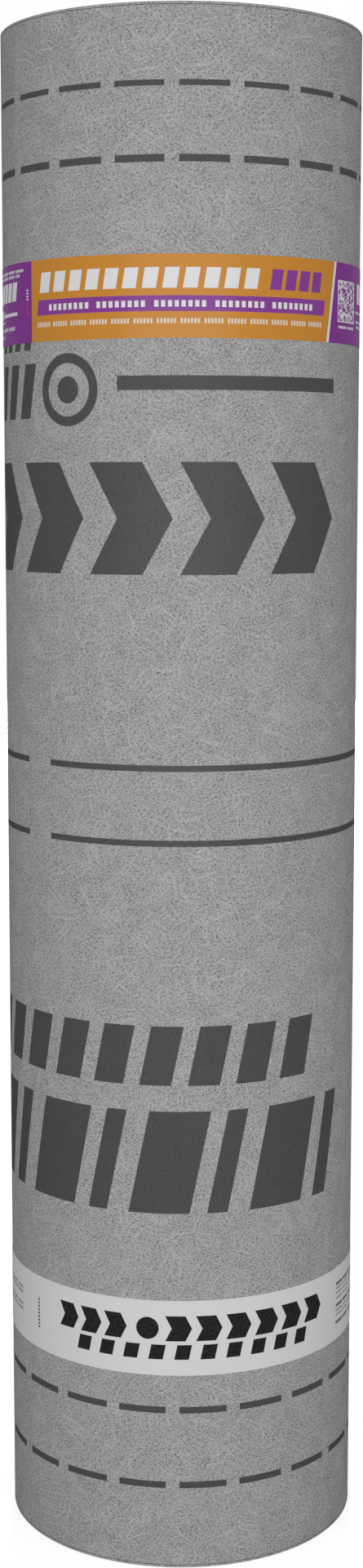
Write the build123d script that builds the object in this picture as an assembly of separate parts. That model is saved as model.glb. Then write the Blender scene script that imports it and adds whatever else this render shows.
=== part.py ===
from build123d import *
from math import ceil, pi, sqrt
import os

# A roll of roofing felt, standing on one end. Millimetres, +Z up.
# The origin is on the axis of the bore, at the lower end.
# The front of the roll faces -Y, and the sheet's tail edge lies at the back, on +Y.

# The sheet, before it is wound
sheet_width = 1000.0
sheet_length = 30000.0
sheet_thickness = 1.2
winding_slack = 0.057

# The roll
bore_diameter = 90.0
turn_edge_relief = 0.5
rim_chamfer = 0.8

# The two printed tapes that are wrapped round the roll
tape_width = 50.8
tape_thickness = 0.2
tape_overlap = 45.0
tape_end_offset = 12.0
upper_tape_drop = 149.4
lower_tape_height = 132.6

# One turn of the sheet, and the radius that the whole length winds up to
turn_pitch = sheet_thickness + winding_slack
bore_radius = bore_diameter / 2
roll_radius = sqrt(bore_radius**2 + sheet_length * turn_pitch / pi)

# The outermost turns run as two half turns about centres half a pitch apart.
# They meet smoothly at the front, and leave a step of one pitch at the back, the sheet's tail edge.
centre_shift = turn_pitch / 4
right_radius = roll_radius + centre_shift
left_radius = roll_radius - centre_shift

# Inside them the turns are turned about the bore's own axis
turned_radius = roll_radius - 1.5 * turn_pitch


def end_edges(turns_per_face):
    """Radius and dip of the creases across one end: the faces between them lean in and out by turns."""
    face_width = turns_per_face * turn_pitch
    faces = ceil((turned_radius - bore_radius) / face_width)
    radii = [turned_radius - k * face_width for k in range(faces)] + [bore_radius]
    leans = [(turned_radius - radius) / face_width % 2 for radius in radii]
    return [(radius, turn_edge_relief * (1 - abs(1 - lean))) for radius, lean in zip(radii, leans)]


def turned_profile():
    """Half section of the inner turns, whose sheet edges show one by one at the upper end.

    The lower end stands on the floor, where the weight has pressed them together in pairs.
    """
    top = [(radius, sheet_width - dip) for radius, dip in end_edges(1)]
    bottom = [(radius, dip) for radius, dip in reversed(end_edges(2))]
    return make_face(Polyline(*top, *bottom, close=True))


def half_turn(radius, start_angle, centre_y):
    """Half of the outermost turns, solid to its centre, with the worn rim at both ends."""
    profile = Polyline(
        (0, 0),
        (radius - rim_chamfer, 0),
        (radius, rim_chamfer),
        (radius, sheet_width - rim_chamfer),
        (radius - rim_chamfer, sheet_width),
        (0, sheet_width),
        close=True,
    )
    half = revolve(Plane.XZ * make_face(profile), Axis.Z, revolution_arc=180)
    return Pos(Y=centre_y) * Rot(Z=start_angle) * half


def felt_roll():
    """The wound sheet: inner turns, outermost turns with the tail edge, and the bore."""
    outer_turns = half_turn(right_radius, -90, centre_shift) + half_turn(left_radius, 90, -centre_shift)
    outer_turns -= extrude(Circle(turned_radius), sheet_width)
    return outer_turns + revolve(Plane.XZ * turned_profile(), Axis.Z)


def half_disc(radius, side, centre_y):
    """Half of the roll's plan, on one side of the plane through the tail edge."""
    cutter = Pos(X=side * radius) * Rectangle(2 * radius, 4 * radius)
    return Pos(Y=centre_y) * (Circle(radius) & cutter)


def label_tape(bottom):
    """A tape pulled tight round the roll: it bridges the tail edge and overlaps itself at the back."""
    plan = half_disc(right_radius, 1, centre_shift) + half_disc(left_radius, -1, -centre_shift)
    inside = make_hull(plan.edges())
    outside = offset(inside, tape_thickness)
    end_strip = Pos(tape_end_offset + tape_overlap / 2, roll_radius) * Rectangle(tape_overlap, roll_radius)
    overlap = (offset(inside, 2 * tape_thickness) - outside) & end_strip
    return Pos(Z=bottom) * extrude(outside - inside + overlap, tape_width)


upper_tape_bottom = sheet_width - upper_tape_drop - tape_width

os.makedirs("parts", exist_ok=True)
export_step(felt_roll(), "parts/felt_roll.step")
export_step(label_tape(upper_tape_bottom), "parts/upper_label_tape.step")
export_step(label_tape(lower_tape_height), "parts/lower_label_tape.step")
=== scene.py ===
from functools import reduce
from math import acos, atan2, copysign, cos, floor, hypot, pi, radians, sin

import bpy
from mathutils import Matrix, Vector


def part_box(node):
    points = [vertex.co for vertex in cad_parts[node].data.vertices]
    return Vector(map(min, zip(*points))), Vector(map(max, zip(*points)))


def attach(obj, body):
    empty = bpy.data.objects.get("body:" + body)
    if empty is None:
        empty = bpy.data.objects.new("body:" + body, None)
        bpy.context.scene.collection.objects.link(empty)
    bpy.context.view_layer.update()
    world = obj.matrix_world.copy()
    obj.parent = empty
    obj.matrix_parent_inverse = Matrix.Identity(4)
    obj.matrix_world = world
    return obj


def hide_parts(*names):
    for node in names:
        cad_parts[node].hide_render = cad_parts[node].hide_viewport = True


# A standing roll of printed roofing felt with two label tapes.
# Blender and the frame count in metres. Sizes here are in millimetres, and MM turns them into metres.
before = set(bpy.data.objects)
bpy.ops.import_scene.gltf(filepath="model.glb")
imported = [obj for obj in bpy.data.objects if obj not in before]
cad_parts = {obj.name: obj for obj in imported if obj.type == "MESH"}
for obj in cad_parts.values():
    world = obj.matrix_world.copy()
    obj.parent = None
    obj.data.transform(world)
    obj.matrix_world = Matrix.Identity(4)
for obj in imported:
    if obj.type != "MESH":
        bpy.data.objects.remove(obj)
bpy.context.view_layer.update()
MM = 0.001
join_distance = 0.01
smooth_angle = 35

# The wound sheet
roll_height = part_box("felt_roll")[1].z / MM
roll_radius = 118.44
turn_pitch = 1.257
turn_count = 58
half_turn_steps = 64
gap_depth = 1.6

# The wall ends at its rims, beside a fine pressed line. The rims run round to just short of the tail edge.
rim_depth = 0.8
rim_end_angle = 6.2
rim_line_height = 1.8
rim_line_width = 0.5
rim_line_depth = 0.12

# The sheet is wound about two centres, half a pitch apart, so that its turns run inwards
centre_shift = turn_pitch / 4
right_radius = roll_radius + centre_shift
left_radius = roll_radius - centre_shift
outer_y = right_radius + centre_shift
inner_y = outer_y - turn_count * turn_pitch

# The rounded nose of one sheet edge: how far in across the turn, as a share of it, and how deep
nose = [(0.0, gap_depth), (0.06, 0.35), (0.3, 0.04), (0.7, 0.04), (0.94, 0.35)]

# The sheet's upper edges are uneven: how fast each wave runs along the winding, its size and its phase.
# The waves grow from nothing over a few turns, so that the outermost edge stays level.
turn_waves = [(0.31, 0.4, 0.7), (0.87, 0.25, 2.1), (2.13, 0.12, 4.0)]
level_turns = 1
growing_turns = 3

# The tapes
tape_width = 50.8
tape_thickness = 0.2
tape_end_offset = 12.0
tape_overlap = 45.0
tape_climb = 2.0
half_tape_steps = 60
tape_start_steps = 2
tape_overlap_steps = 8
upper_tape_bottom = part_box("upper_label_tape")[0].z / MM
lower_tape_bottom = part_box("lower_label_tape")[0].z / MM
tape_repeat = pi * roll_radius

# The print on the felt, round the roll from its front and up from its lower end.
# Lines are given by the height of their middle and their width.
dashed_lines = [(952.3, 3.6), (907.7, 4.5), (108.9, 4.5), (57.4, 4.5)]
dash_pitch = 40.5
dash_length = 31.6
dash_start = -1.1
solid_lines = [(532.4, 4.0), (484.5, 4.0)]
solid_line_gap = (-117.8, -93.9)
print_repeat = 398.0
print_slope = 0.21
bar = (-40.4, 114.8, 768.2, 777.1)
ring_middle = (-76.5, 769.2)
ring_radii = (16.5, 22.7)
ring_dot_radius = 8.5

# Rows of blocks: left, right, how many, how much of their pitch they fill, low and high
slanted_rows = [
    (-190, -112, 6, 0.6, 795, 812),
    (-190, -113, 4, 0.6, 752, 786.5),
    (-186, 88.8, 9, 0.66, 327, 366),
    (-196.09, 86.21, 4, 0.5, 242, 310),
    (-144.09, 111.21, 4, 0.17, 242, 310),
]
felt_arrows = (-160, 114.2, 5, 0.6, 654.2, 724.2)
felt_arrow_slope = 0.55

# Rows of small marks: how much of its pitch a mark fills, the pitch, and how many stand in a group
mark_fill = 0.62
mark_pitch = 1.7
mark_group = 7

# How soft the edges of the print on the tapes are
sharp_edge = 0.25
soft_edge = 0.5

# The camera stands where the photo was taken from
camera_place = (0.4, -1534.47, 709.63)
camera_pitch = 7.5143
camera_lens = 51.946

# Light: an even surround, and a large lamp in front and behind, by width, height and power in watts
ambient_strength = 0.395
lamp_distance = 6000.0
lamp_elevation = 3.5
front_lamp = (8000.0, 900.0, 259.0)
back_lamp = (1200.0, 1200.0, 200.0)

# The floor, and how much it is lifted where the camera sees it
floor_size = 60000.0
floor_grey = 0.8
floor_glow = 0.65
far_floor_glow = 0.08
far_floor_start = 1000.0
far_floor_end = 3000.0


def metres(*place):
    return Vector(place) * MM


def choose(piece):
    """Makes a piece the only selected one, and the active one."""
    bpy.ops.object.select_all(action="DESELECT")
    piece.select_set(True)
    bpy.context.view_layer.objects.active = piece


def start_line(name, place):
    """A new piece that is one selected vertex, open in edit mode."""
    bpy.ops.object.select_all(action="DESELECT")
    bpy.ops.mesh.primitive_plane_add(size=MM)
    piece = bpy.context.object
    piece.name = name
    bpy.ops.object.mode_set(mode="EDIT")
    bpy.ops.mesh.select_mode(type="VERT")
    bpy.ops.mesh.select_all(action="SELECT")
    bpy.ops.mesh.merge(type="CENTER")
    bpy.ops.transform.translate(value=metres(*place))
    return piece


def draw_to(step):
    """Extrudes what is selected by a step."""
    bpy.ops.mesh.extrude_region_move(TRANSFORM_OT_translate={"value": metres(*step)})


def draw_through(points):
    """Draws on from the selected vertex, which is the first point, through the others."""
    for before, after in zip(points, points[1:]):
        draw_to([b - a for a, b in zip(before, after)])


def draw_round(centre_y, angle, steps):
    """Turns what is selected about an upright line, clockwise from above, and leaves a surface or line."""
    bpy.ops.mesh.spin(steps=steps, angle=angle, center=metres(0, centre_y, 0), axis=(0, 0, 1))


def close_up():
    """Joins the vertices that meet, and turns the faces outwards."""
    bpy.ops.mesh.select_all(action="SELECT")
    bpy.ops.mesh.remove_doubles(threshold=join_distance * MM)
    bpy.ops.mesh.normals_make_consistent(inside=False)


def finish_piece(piece, node):
    """Shades a finished mesh and sets it in the frame in place of its CAD node."""
    choose(piece)
    bpy.ops.object.shade_smooth_by_angle(angle=radians(smooth_angle))
    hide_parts(node)
    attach(piece, "root")


def corners_of(piece, face):
    """The corners of a face: their numbers in a map, and their places in millimetres."""
    for corner in face.loop_indices:
        yield corner, piece.data.vertices[piece.data.loops[corner].vertex_index].co / MM


def share_round(x, y, face_x):
    """How far round from the front a place is, as a share of a turn, on the face's side at the tail edge."""
    if abs(x) < join_distance and y > 0:
        return copysign(0.5, face_x)
    return atan2(x, -y) / (2 * pi)


def sheet_edges(end_height, outward):
    """The sheet's edges across one end, in the plane of the tail edge, from the outside in."""
    edges = [
        (0.0, outer_y - (turn + across) * turn_pitch, end_height - outward * depth)
        for turn in range(turn_count)
        for across, depth in nose
    ]
    return edges + [(0.0, inner_y, end_height - outward * gap_depth)]


def rim_line(height):
    """The fine pressed line round the roll beside a rim."""
    half = rim_line_width / 2
    steps = [(-half, 0.0), (0.0, rim_line_depth), (half, 0.0)]
    return [(0.0, outer_y - depth, height + rise) for rise, depth in steps]


def roll_section():
    """The closed half section of the roll: across the upper end, down the bore, and back up the wall."""
    upper = sheet_edges(roll_height, 1)
    lower = sheet_edges(0.0, -1)
    lines = rim_line(rim_line_height) + rim_line(roll_height - rim_line_height)
    return upper + lower[::-1] + lines + upper[:1]


def winding_angle(x, y):
    """How far the sheet is wound at a place, as an angle inwards from its tail edge."""
    boundary_margin = 0.02
    side = centre_shift if x >= 0 else -centre_shift
    turns_in = floor((roll_radius + side - hypot(x, y - side)) / turn_pitch + boundary_margin)
    angle = atan2(x, y - side) if x >= 0 else pi + atan2(-x, side - y)
    return 2 * pi * turns_in + angle


def settle_turns(piece):
    """Ends the wall at the rims, and lets the sheet's upper edges sink a little, turn by turn."""
    for vertex in piece.data.vertices:
        x, y, z = vertex.co / MM
        wound = winding_angle(0.0 if abs(x) < join_distance else x, y)
        from_end = min(z, roll_height - z)
        if wound < rim_end_angle and abs(from_end - gap_depth) < join_distance:
            vertex.co.z += copysign(gap_depth - rim_depth, z - roll_height / 2) * MM
        elif z > roll_height - gap_depth - join_distance:
            sink = sum(size * (1 + sin(rate * wound + phase)) for rate, size, phase in turn_waves)
            grown = (wound / (2 * pi) - level_turns) / growing_turns
            vertex.co.z -= sink * min(1.0, max(0.0, grown)) * MM


def part_shown(face):
    """Which part of the roll a face belongs to."""
    wall_margin = 0.4
    most_lean = 0.6
    most_sink = 2 * sum(size for _, size, _ in turn_waves)
    end_reach = gap_depth + most_sink + join_distance
    middle = face.center / MM
    if abs(middle.x) < join_distance:
        return "tail"
    if hypot(middle.x, middle.y) > left_radius - wall_margin and abs(face.normal.z) < most_lean:
        return "wall"
    if min(middle.z, roll_height - middle.z) < end_reach:
        return "end"
    return "bore"


def lay_roll_map(piece):
    """A map for the finish: the wall on the left, and both ends, the bore and the cut edges on the right."""
    wall_middle, wall_width = 0.31, 0.61
    wall_foot, wall_height = 0.002, 0.996
    end_across, end_radius = 0.815, 0.18
    upper_end_height, lower_end_height = 0.185, 0.56
    bore_foot, bore_height = 0.635, 0.36
    bore_middle, bore_width = 0.875, 0.23
    tail_middle, tail_width = 0.622, 0.001
    places = piece.data.uv_layers.new(name="OFBake").data
    for face in piece.data.polygons:
        middle = face.center / MM
        part = part_shown(face)
        end_height = upper_end_height if middle.z > roll_height / 2 else lower_end_height
        for corner, (x, y, z) in corners_of(piece, face):
            along = share_round(x, y, middle.x)
            rise = z / roll_height
            end_x, end_y = end_radius * x / right_radius, end_radius * y / right_radius
            places[corner].uv = {
                "wall": (wall_middle + wall_width * along, wall_foot + wall_height * rise),
                "end": (end_across + end_x, end_height + end_y),
                "bore": (bore_foot + bore_height * rise, bore_middle + bore_width * along),
                "tail": (tail_middle + tail_width * (y - middle.y), rise),
            }[part]


def wind_roll():
    """The wound sheet: its section turned half way about one centre, then on about the other."""
    section = roll_section()
    roll = start_line("wound_felt", section[0])
    draw_through(section)
    bpy.ops.mesh.select_all(action="SELECT")
    draw_round(centre_shift, pi, half_turn_steps)
    draw_round(-centre_shift, pi, half_turn_steps)
    close_up()
    bpy.ops.mesh.select_all(action="DESELECT")
    bpy.ops.mesh.select_mode(type="EDGE")
    bpy.ops.mesh.select_non_manifold()
    bpy.ops.mesh.edge_face_add()
    close_up()
    bpy.ops.object.mode_set(mode="OBJECT")
    settle_turns(roll)
    lay_roll_map(roll)
    return roll


def wrap_tape(name, bottom):
    """A tape pulled tight once round the roll, across its tail edge and over the tape's own start."""
    start = tape_end_offset / right_radius
    climb = tape_climb / right_radius
    bridge = acos(left_radius / (left_radius + turn_pitch))
    over = right_radius + tape_thickness
    tape = start_line(name, (right_radius * sin(start), centre_shift + right_radius * cos(start), bottom))
    draw_round(centre_shift, pi - start, half_tape_steps)
    draw_round(-centre_shift, pi - bridge, half_tape_steps)
    draw_to((left_radius * sin(bridge), outer_y + centre_shift - left_radius * cos(bridge), 0))
    draw_round(centre_shift, start - climb, tape_start_steps)
    draw_to((
        over * sin(start) - right_radius * sin(start - climb),
        over * cos(start) - right_radius * cos(start - climb),
        0,
    ))
    draw_round(centre_shift, tape_overlap / right_radius, tape_overlap_steps)
    bpy.ops.mesh.select_all(action="SELECT")
    draw_to((0, 0, tape_width))
    close_up()
    bpy.ops.object.mode_set(mode="OBJECT")
    wall = tape.modifiers.new("thickness", "SOLIDIFY")
    wall.thickness = tape_thickness * MM
    wall.offset = 1.0
    bpy.ops.object.modifier_apply(modifier=wall.name)
    return tape


def lay_tape_map(tape, bottom):
    """A map for the tape's finish: its outer face cut into rows, and what is hidden in a narrow strip."""
    rows = 4
    row_height = 0.24
    edge, inside = 0.01, 0.98
    strip_foot, strip_height = 0.97, 0.02
    least_outward = 0.5
    overlap_end = tape_end_offset + tape_overlap
    between_layers = right_radius + 1.5 * tape_thickness
    places = tape.data.uv_layers.new(name="OFBake").data
    for face in tape.data.polygons:
        middle = face.center / MM
        away = face.normal.x * middle.x + face.normal.y * middle.y
        outward = away > least_outward * hypot(middle.x, middle.y)
        at_overlap = tape_end_offset < middle.x < overlap_end and middle.y > 0
        covered = at_overlap and hypot(middle.x, middle.y - centre_shift) < between_layers
        middle_along = atan2(middle.x, -middle.y) / (2 * pi) + 0.5
        row = min(rows - 1, floor(middle_along * rows))
        for corner, (x, y, z) in corners_of(tape, face):
            along = share_round(x, y, middle.x) + 0.5
            across = (z - bottom) / tape_width
            if outward and not covered:
                place = (edge + inside * (along * rows - row), (row + edge + inside * across) * row_height)
            else:
                place = (edge + inside * along, strip_foot + strip_height * across)
            places[corner].uv = place


class Signal:
    """A value that varies over a surface: arithmetic on it adds Math nodes to the wiring it is in."""

    def __init__(self, wiring, socket):
        self.wiring = wiring
        self.socket = socket

    def __add__(self, other):
        return self.wiring.maths("ADD", self, other)

    def __radd__(self, other):
        return self.wiring.maths("ADD", other, self)

    def __sub__(self, other):
        return self.wiring.maths("SUBTRACT", self, other)

    def __rsub__(self, other):
        return self.wiring.maths("SUBTRACT", other, self)

    def __mul__(self, other):
        return self.wiring.maths("MULTIPLY", self, other)

    def __rmul__(self, other):
        return self.wiring.maths("MULTIPLY", other, self)

    def __truediv__(self, other):
        return self.wiring.maths("DIVIDE", self, other)

    def __mod__(self, other):
        return self.wiring.maths("FLOORED_MODULO", self, other)

    def __neg__(self):
        return self.wiring.maths("MULTIPLY", self, -1.0)

    def __abs__(self):
        return self.wiring.maths("ABSOLUTE", self)


class Wiring:
    """The nodes of a world or a material, added one by one."""

    def __init__(self, tree):
        self.nodes = tree.nodes
        self.links = tree.links

    def node(self, kind, settings=(), values=(), output=0):
        """Adds a node: its settings first, then its sockets' values or links. Returns one of its outputs."""
        made = self.nodes.new(kind)
        for name, setting in dict(settings).items():
            setattr(made, name, setting)
        for socket, value in dict(values).items():
            if isinstance(value, Signal):
                self.links.new(value.socket, made.inputs[socket])
            else:
                made.inputs[socket].default_value = value
        return Signal(self, made.outputs[output])

    def maths(self, operation, *values):
        return self.node("ShaderNodeMath", {"operation": operation}, enumerate(values))

    def feed(self, signals):
        """Links signals to the named sockets of nodes that are there from the start."""
        for (node, socket), signal in signals.items():
            self.links.new(signal.socket, self.nodes[node].inputs[socket])


class Finish(Wiring):
    """One material, built up node by node and fed to its shader."""

    def __init__(self, name, **constants):
        self.material = bpy.data.materials.new(name)
        self.material.use_nodes = True
        super().__init__(self.material.node_tree)
        for socket, value in constants.items():
            self.nodes["Principled BSDF"].inputs[socket.replace("_", " ")].default_value = value

    def place(self):
        """The place on the piece along X, Y and Z, in millimetres."""
        coordinates = self.node("ShaderNodeTexCoord", output="Object")
        scaled = self.node("ShaderNodeVectorMath", {"operation": "SCALE"}, {0: coordinates, "Scale": 1 / MM})
        parts = self.node("ShaderNodeSeparateXYZ", values={0: scaled})
        return [Signal(self, socket) for socket in parts.socket.node.outputs]

    def wall_place(self):
        """The distance round the roll from its front, and the height, in millimetres."""
        x, y, z = self.place()
        return self.maths("ARCTAN2", x, -y) * roll_radius, z

    def noise(self, across, up, size, detail=2.0):
        """Soft random patches of about this size, from 0 to 1."""
        flat = self.node("ShaderNodeCombineXYZ", values={0: across, 1: up})
        settings = {"noise_dimensions": "2D"}
        values = {"Vector": flat, "Scale": 1 / size, "Detail": detail, "Roughness": 0.5}
        return self.node("ShaderNodeTexNoise", settings, values)

    def mix(self, colour, other, share):
        settings = {"data_type": "RGBA"}
        return self.node("ShaderNodeMix", settings, {0: share, 6: colour, 7: other}, output=2)

    def feed_shader(self, colour, roughness, height, strength, gloss=None):
        """Gives the shader its colour and roughness, a relief in millimetres, and any gloss that varies."""
        relief = self.node("ShaderNodeBump", values={"Height": height, "Distance": MM, "Strength": strength})
        signals = {"Base Color": colour, "Roughness": roughness, "Normal": relief}
        if gloss is not None:
            signals["Coat Weight"] = gloss
        self.feed({("Principled BSDF", socket): signal for socket, signal in signals.items()})
        return self.material


def clamped(signal):
    return signal.wiring.node("ShaderNodeClamp", values={0: signal})


def distance(across, up):
    return across.wiring.maths("SQRT", across * across + up * up)


def ribs(along, length):
    """Even waves of this length, from -1 to 1."""
    return along.wiring.maths("SINE", along * (2 * pi / length))


def centred(along, repeat):
    """A pattern's own distance along: it runs from minus half a repeat to plus half, over and over."""
    return (along + repeat / 2) % repeat - repeat / 2


# A shape is a signal that says how far inside it a place is, in millimetres: below 0 outside it.


def both(*insides):
    return reduce(lambda a, b: a.wiring.maths("MINIMUM", a, b), insides)


def either(*insides):
    return reduce(lambda a, b: a.wiring.maths("MAXIMUM", a, b), insides)


def filled(inside, blur):
    """1 inside a shape and 0 outside it, with a soft edge of this width."""
    return clamped(inside / blur + 0.5)


def between(signal, low, high):
    return (high - low) / 2 - abs(signal - (low + high) / 2)


def lines_at(height, lines):
    """Level lines, given by the height of their middle and their width."""
    return either(*[between(height, middle - width / 2, middle + width / 2) for middle, width in lines])


def box_inside(along, height, left, right, low, high):
    return both(between(along, left, right), between(height, low, high))


def slanted(along, height, foot, slope):
    """The distance along for a shape that leans by a slope from its foot up."""
    return along - slope * (height - foot)


def blocks(along, left, right, count, fill):
    """Even blocks from left to right, as wide as the given share of their pitch."""
    pitch = (right - left) / (count - 1 + fill)
    return both(between(along, left, right), between((along - left) % pitch, 0, fill * pitch))


def block_row(along, height, left, right, count, fill, low, high, slope=print_slope):
    """A row of even blocks that lean by a slope."""
    row = blocks(slanted(along, height, low, slope), left, right, count, fill)
    return both(row, between(height, low, high))


def arrow_row(along, height, left, right, count, fill, low, high, slope):
    """A row of even arrows that point to the right."""
    arrow = along + slope * abs(height - (low + high) / 2)
    return both(blocks(arrow, left, right, count, fill), between(height, low, high))


def mark_row(along, height, left, right, low, high, fill=mark_fill, pitch=mark_pitch, group=mark_group):
    """A row of small upright marks, in groups with the place of one mark left bare between them."""
    mark = between((along - left) % pitch, 0, fill * pitch)
    grouped = between((along - left) % ((group + 1) * pitch), 0, (group - 1 + fill) * pitch)
    return both(box_inside(along, height, left, right, low, high), mark, grouped)


def beads(along, height, left, right, low, high, pitch, length):
    """An upright row of small marks."""
    return both(box_inside(along, height, left, right, low, high), between(height % pitch, 0, length))


def printed_shapes(s, z):
    """The felt's plain printed marks."""
    repeat = centred(s, print_repeat)
    dash = between((s - dash_start) % dash_pitch, 0, dash_length)
    dashed = both(dash, lines_at(z, dashed_lines))
    solid = both(-between(repeat, *solid_line_gap), lines_at(z, solid_lines))
    from_ring = distance(repeat - ring_middle[0], z - ring_middle[1])
    ring = either(between(from_ring, *ring_radii), ring_dot_radius - from_ring)
    rows = [block_row(repeat, z, *row) for row in slanted_rows]
    arrows = arrow_row(repeat, z, *felt_arrows, felt_arrow_slope)
    return either(dashed, solid, box_inside(repeat, z, *bar), ring, arrows, *rows)


def turned(s, z, angle, offset=0):
    """A place on the wall, turned by an angle and moved, so that two noises there have nothing in common."""
    along = s * cos(radians(angle)) + z * sin(radians(angle)) + offset
    across = z * cos(radians(angle)) - s * sin(radians(angle)) + offset
    return along, across


def fleece(finish, s, z):
    """The felt's fibre face: dark specks between fibres, light fibres, and its grain with soft clouds."""
    bend, bend_size = 14, 34
    fibre_length, fibre_width = 34, 0.7
    fibre_directions, first_direction, between_directions = 4, 12, 45
    fibre_level, fibre_softness = 0.68, 0.1
    coarse_size, fine_size, squash = 1.5, 1.25, 1.25
    cloud_size, cloud_strength = 11, 0.1
    speck_level, speck_softness = 0.43, 0.16
    bent_s = s + bend * finish.noise(s, z, bend_size, 1)
    bent_z = z + bend * finish.noise(s + 300, z + 90, bend_size, 1)
    strands = []
    for number in range(fibre_directions):
        direction = first_direction + between_directions * number
        along, across = turned(bent_s, bent_z, direction, 71 * number)
        strand = finish.noise(along / fibre_length, across / fibre_width, 1, 0)
        strands.append(filled(strand - fibre_level, fibre_softness))
    fibres = either(*strands)
    coarse = finish.noise(*turned(s, z * squash, 31), coarse_size, 1)
    fine = finish.noise(*turned(s, z * squash, 68, 17), fine_size, 1)
    grain = (coarse + fine) / 2
    clouds = finish.noise(s, z, cloud_size)
    pale = filled(grain + cloud_strength * (clouds - 0.5) - speck_level, speck_softness)
    specks = (1 - pale) * (1 - 0.5 * fibres)
    return specks, fibres, grain + cloud_strength * clouds


def printed_felt():
    """The outer face: grey fibre fleece with marks printed in dark ink, and painted shade along a pressed
    line by each rim.
    """
    felt_grey, mean_grain = 0.306, 0.55
    ink_grey, ink_gloss = 0.071, 0.06
    ragged_size, ragged_depth, ink_blur = 0.9, 0.35, 0.4
    crease_shade_darkness, line_blur = 0.65, 0.2
    fibre_height, speck_depth, relief_strength = 0.1, 0.16, 0.6
    finish = Finish("printed_felt", Specular_IOR_Level=0.0, Coat_IOR=2.5, Coat_Roughness=0.45)
    s, z = finish.wall_place()
    specks, fibres, grain = fleece(finish, s, z)
    felt = felt_grey - 0.08 * specks + 0.07 * fibres + 0.375 * (grain - mean_grain)
    ink = ink_grey - 0.024 * specks
    ragged = (finish.noise(s, z, ragged_size, 1) - 0.5) * ragged_depth
    inked = filled(printed_shapes(s, z) + ragged, ink_blur)
    from_rim = finish.maths("MINIMUM", z, roll_height - z)
    # Painted shade: the colour is darkened along the pressed line beside each rim, in its crease.
    line = filled(lines_at(from_rim, [(rim_line_height, rim_line_width)]), line_blur)
    shade = (felt + (ink - felt) * inked) * (1 - crease_shade_darkness * line)
    roughness = 0.7 + 0.15 * specks - 0.1 * inked
    relief = fibre_height * fibres - speck_depth * specks
    return finish.feed_shader(shade, roughness, relief, relief_strength, ink_gloss * inked)


def cut_edges():
    """The sheet's cut edges: dark bitumen between two light fibre faces."""
    bitumen_grey, fibre_grey = 0.028, 0.27
    core_start, core_end, core_blur = 0.2, 0.8, 0.06
    middle_radius = 60
    pull, pull_size, pull_height, turns_apart = 0.34, 3, 4, 3
    dust_size, dust_level, dust_softness = 0.6, 0.6, 0.12
    dust_height, bitumen_depth, relief_strength = 0.1, 0.08, 0.5
    finish = Finish("cut_sheet_edges", Specular_IOR_Level=0.3)
    x, y, z = finish.place()
    side = finish.maths("SIGN", x) * centre_shift
    turns_in = (side + roll_radius - distance(x, y - side)) / turn_pitch
    round_roll = finish.maths("ARCTAN2", x, -y) * middle_radius
    pull_place = turns_in * turns_apart + z / pull_height
    pulled = (finish.noise(round_roll / pull_size, pull_place, 1) - 0.5) * pull
    bitumen = filled(between((turns_in + pulled) % 1, core_start, core_end), core_blur)
    dust = filled(finish.noise(x + z, y + z, dust_size) - dust_level, dust_softness)
    fibre = fibre_grey + 0.08 * dust
    shade = fibre + (bitumen_grey + 0.05 * dust - fibre) * bitumen
    roughness = 0.85 - 0.3 * bitumen
    relief = dust_height * dust - bitumen_depth * bitumen
    return finish.feed_shader(shade, roughness, relief, relief_strength)


def felt_back():
    """The sheet's unprinted back, in the bore."""
    bore_share = 0.4
    back_grey, mean_grain = 0.2, 0.5
    fibre_height, speck_depth, relief_strength = 0.12, 0.16, 0.6
    finish = Finish("felt_back", Specular_IOR_Level=0.15)
    s, z = finish.wall_place()
    specks, fibres, grain = fleece(finish, s * bore_share, z)
    shade = back_grey - 0.07 * specks + 0.04 * fibres + 0.06 * (grain - mean_grain)
    relief = fibre_height * fibres - speck_depth * specks
    return finish.feed_shader(shade, 0.8 + 0.1 * specks, relief, relief_strength)


def dress_roll(roll):
    """Gives the roll's wall, cut edges and bore their own finishes."""
    for material in (printed_felt(), cut_edges(), felt_back()):
        roll.data.materials.append(material)
    for face in roll.data.polygons:
        face.material_index = {"wall": 0, "end": 1, "tail": 1, "bore": 2}[part_shown(face)]


def paint(finish, colour, layers, blur=sharp_edge):
    """Lays printed colours over a colour, in order."""
    for inside, ink in layers:
        colour = finish.mix(colour, ink, filled(inside, blur))
    return colour


def random_squares(finish, along, height, left, right, low, high):
    """A field of small squares, each dark or bare at random."""
    square_size, contrast = 1.08, 20
    cell = finish.node("ShaderNodeCombineXYZ", values={0: along / square_size, 1: height / square_size})
    cell = finish.node("ShaderNodeVectorMath", {"operation": "FLOOR"}, {0: cell})
    shade = finish.node("ShaderNodeTexWhiteNoise", {"noise_dimensions": "2D"}, {"Vector": cell})
    return both(box_inside(along, height, left, right, low, high), contrast * (shade - 0.5))


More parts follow.
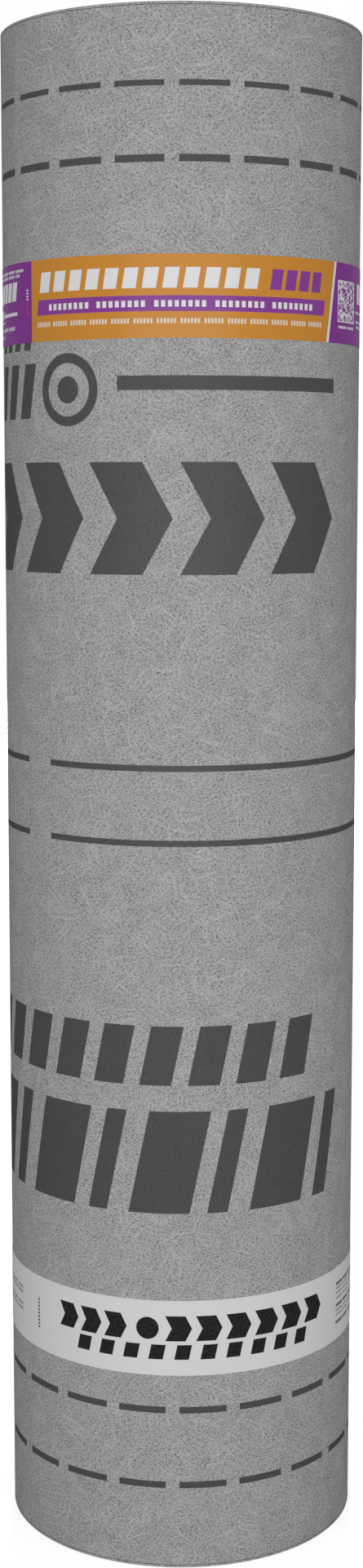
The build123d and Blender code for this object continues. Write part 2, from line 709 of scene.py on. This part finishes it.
def upper_label():
    """The upper tape: an orange panel with a purple band, between purple panels with small marks."""
    orange = (0.52, 0.22, 0.033, 1)
    purple = (0.2, 0.03, 0.25, 1)
    violet = (0.215, 0.045, 0.262, 1)
    pink = (0.37, 0.03, 0.22, 1)
    white = (0.66, 0.66, 0.66, 1)
    cream = (0.66, 0.6, 0.52, 1)
    left_edge, right_edge, line_edge = -109.8, 109.6, 112.1
    edge_foot, edge_slope = 23.2, 0.177
    slope = 0.165
    # Rows of small marks on the purple panels: left, right, low, high, and how much of its pitch one fills
    small_rows = [
        (-186, -120, 44.8, 46.6, 0.75),
        (-186, -125, 41.8, 43.7, 0.7),
        (-186, -158, 14.2, 15.9, 0.75),
        (-186, -132, 8.9, 11.3),
        (-186, -158, 4.8, 6.5),
        (120, 146, 9.6, 11.2, 0.8),
        (150.5, 186, 20.6, 22.2, 0.7),
        (151.5, 186, 14.6, 16.2, 0.7),
        (153, 186, 11.2, 13),
    ]
    finish = Finish("upper_label_print", Specular_IOR_Level=0.0, Coat_Weight=0.17, Coat_Roughness=0.26)
    s, z = finish.wall_place()
    repeat = centred(s, tape_repeat)
    rise = z - upper_tape_bottom
    edge = slanted(repeat, rise, edge_foot, edge_slope)
    band = both(between(slanted(repeat, rise, 20.9, slope), -103, 103), between(rise, 16.2, 25.7))
    colour = paint(finish, purple, [
        (both(repeat - left_edge, right_edge - edge), orange),
        (between(edge, right_edge, line_edge), white),
        (block_row(repeat, rise, -101, 48.5, 12, 0.7, 30.2, 42.7, slope), white),
        (block_row(repeat, rise, 57.4, 98.4, 4, 0.75, 30.2, 42.7, slope), violet),
        (band, violet),
        (mark_row(repeat, rise, -92, 94, 18.8, 22.7, pitch=4.2, group=8), white),
        (block_row(repeat, rise, -184, -131.5, 6, 0.82, 27.2, 39.1), white),
        (box_inside(repeat, rise, -160, -129.4, 18.1, 20.2), white),
        (mark_row(repeat, rise, -186, -158, 17.4, 23, 0.8, pitch=3.4, group=3), white),
        (box_inside(repeat, rise, -116, -114, 16.9, 26.5), pink),
        (beads(repeat, rise, -116.1, -113.9, 26.7, 34.2, 1.9, 1), white),
        (box_inside(repeat, rise, 119, 146.9, 13.5, 39.8), white),
        (random_squares(finish, repeat, rise, 119.7, 146.2, 14.2, 39.1), purple),
        (block_row(repeat, rise, 155, 184, 3, 0.8, 27, 40, 0), white),
        *[(mark_row(repeat, rise, *row), white) for row in small_rows],
    ])
    cream_row = mark_row(repeat, rise, -103, 101, 8.9, 11.9, pitch=2.1, group=6)
    colour = paint(finish, colour, [(cream_row, cream)], soft_edge)
    return tape_surface(finish, colour, s, rise)


def lower_label():
    """The lower tape: pale grey with dark arrows, a disc, slanted blocks, and rows of small grey marks."""
    pale = (0.615, 0.615, 0.615, 1)
    darkest_ink = (0.004, 0.004, 0.005, 1)
    lightest_ink = (0.032, 0.032, 0.034, 1)
    grey_ink = (0.07, 0.07, 0.07, 1)
    disc_middle, disc_radius = (-22, 31.9), 7.5
    arrow_slope = 0.5
    left_rows = [(-186, -135.5, low, low + 2) for low in (18.7, 22.4, 30.7, 34.1)]
    right_rows = [(129.5, 186, low, low + 1.3) for low in (16.2, 19.5, 28.1, 31.7, 35)]
    bold_rows = [(129.5, 186, low, low + 2.1, 0.9) for low in (10.7, 22.7, 37.9)]
    finish = Finish("lower_label_print", Specular_IOR_Level=0.0, Coat_Weight=0.07, Coat_Roughness=0.26)
    s, z = finish.wall_place()
    black = finish.mix(darkest_ink, lightest_ink, finish.noise(s, z, 1.8, 1))
    repeat = centred(s, tape_repeat)
    rise = z - lower_tape_bottom
    disc = disc_radius - distance(repeat - disc_middle[0], rise - disc_middle[1])
    left_arrows = arrow_row(repeat, rise, -84, -36, 3, 0.66, 23.4, 40.4, arrow_slope)
    right_arrows = arrow_row(repeat, rise, -6, 108, 6, 0.66, 23.4, 40.4, arrow_slope)
    colour = paint(finish, pale, [
        (either(left_arrows, right_arrows), black),
        (disc, black),
        (block_row(repeat, rise, -73, 91, 10, 0.56, 10.9, 20.9), black),
    ])
    fine_marks = [mark_row(repeat, rise, *row) for row in left_rows + right_rows + bold_rows]
    fine_marks.append(beads(repeat, rise, -112.2, -110.2, 14.4, 36.2, 2.4, 1.4))
    colour = paint(finish, colour, [(either(*fine_marks), grey_ink)], soft_edge)
    return tape_surface(finish, colour, s, rise)


def tape_surface(finish, colour, s, rise):
    """The tape's film: fine ribs along it with painted shade in faint stripes along them, and a soft
    unevenness where it lies on the felt.
    """
    coarse_length, fine_length, bump_size = 2.6, 0.62, 1.6
    coarse_height, fine_height, bump_height, relief_strength = 0.008, 0.004, 0.03, 0.5
    coarse = ribs(rise, coarse_length)
    fine = ribs(rise, fine_length)
    bumps = finish.noise(s, rise, bump_size)
    # The colour is darkened a little all over, and carries painted shade in faint stripes that follow the
    # ribs.
    rib_shaded_colour = finish.mix(colour, (0, 0, 0, 1), clamped(0.015 + 0.005 * coarse + 0.005 * fine))
    roughness = 0.26 + 0.1 * (bumps - 0.5)
    relief = coarse_height * coarse + fine_height * fine + bump_height * bumps
    return finish.feed_shader(rib_shaded_colour, roughness, relief, relief_strength)


def add_camera():
    bpy.ops.object.camera_add(location=metres(*camera_place), rotation=(radians(90 - camera_pitch), 0, 0))
    camera = bpy.context.object
    camera.name = "photo_camera"
    camera.data.lens = camera_lens
    bpy.context.scene.camera = camera


def add_lamp(name, azimuth, width, height, power):
    """A large soft lamp that looks at the middle of the roll."""
    azimuth, elevation = radians(azimuth), radians(lamp_elevation)
    towards = Vector((sin(azimuth) * cos(elevation), -cos(azimuth) * cos(elevation), sin(elevation)))
    middle = Vector((0, 0, roll_height / 2))
    place = (middle + towards * lamp_distance) * MM
    turn = towards.to_track_quat("Z", "Y").to_euler()
    bpy.ops.object.light_add(type="AREA", location=place, rotation=turn)
    lamp = bpy.context.object
    lamp.name = name
    lamp.data.shape = "RECTANGLE"
    lamp.data.size = width * MM
    lamp.data.size_y = height * MM
    lamp.data.energy = power


def add_surround():
    """Even light from all round, and white where the camera, a mirror or glass shows the background."""
    world = bpy.data.worlds.new("studio")
    bpy.context.scene.world = world
    world.use_nodes = True
    wiring = Wiring(world.node_tree)
    ways = ("Is Camera Ray", "Is Glossy Ray", "Is Transmission Ray")
    seen = either(*[wiring.node("ShaderNodeLightPath", output=way) for way in ways])
    wiring.nodes["Background"].inputs["Color"].default_value = (1, 1, 1, 1)
    wiring.feed({("Background", "Strength"): ambient_strength + (1 - ambient_strength) * seen})


def add_floor():
    """A plain pale floor, lifted to white where the camera sees it, that keeps the roll's shadow.

    The lamps light it less far away, so there it is lifted a little more.
    """
    bpy.ops.mesh.primitive_plane_add(size=floor_size * MM)
    ground = bpy.context.object
    ground.name = "studio_floor"
    grey = (floor_grey, floor_grey, floor_grey, 1)
    finish = Finish("studio_floor", Base_Color=grey, Roughness=1.0, Specular_IOR_Level=0.0)
    x, y, _ = finish.place()
    far = clamped((distance(x, y) - far_floor_start) / (far_floor_end - far_floor_start))
    seen = finish.node("ShaderNodeLightPath", output="Is Camera Ray")
    strength = (floor_glow + far_floor_glow * far) * seen
    glow = finish.node("ShaderNodeEmission", values={"Strength": strength})
    lit = Signal(finish, finish.nodes["Principled BSDF"].outputs[0])
    surface = finish.node("ShaderNodeAddShader", values={0: lit, 1: glow})
    finish.feed({("Material Output", "Surface"): surface})
    ground.data.materials.append(finish.material)


bpy.context.scene.view_settings.view_transform = "Standard"
add_camera()
add_lamp("front_lamp", 0, *front_lamp)
add_lamp("back_lamp", 180, *back_lamp)
add_surround()
add_floor()

roll = wind_roll()
dress_roll(roll)
finish_piece(roll, "felt_roll")

upper_tape = wrap_tape("upper_tape_band", upper_tape_bottom)
lay_tape_map(upper_tape, upper_tape_bottom)
upper_tape.data.materials.append(upper_label())
finish_piece(upper_tape, "upper_label_tape")

lower_tape = wrap_tape("lower_tape_band", lower_tape_bottom)
lay_tape_map(lower_tape, lower_tape_bottom)
lower_tape.data.materials.append(lower_label())
finish_piece(lower_tape, "lower_label_tape")
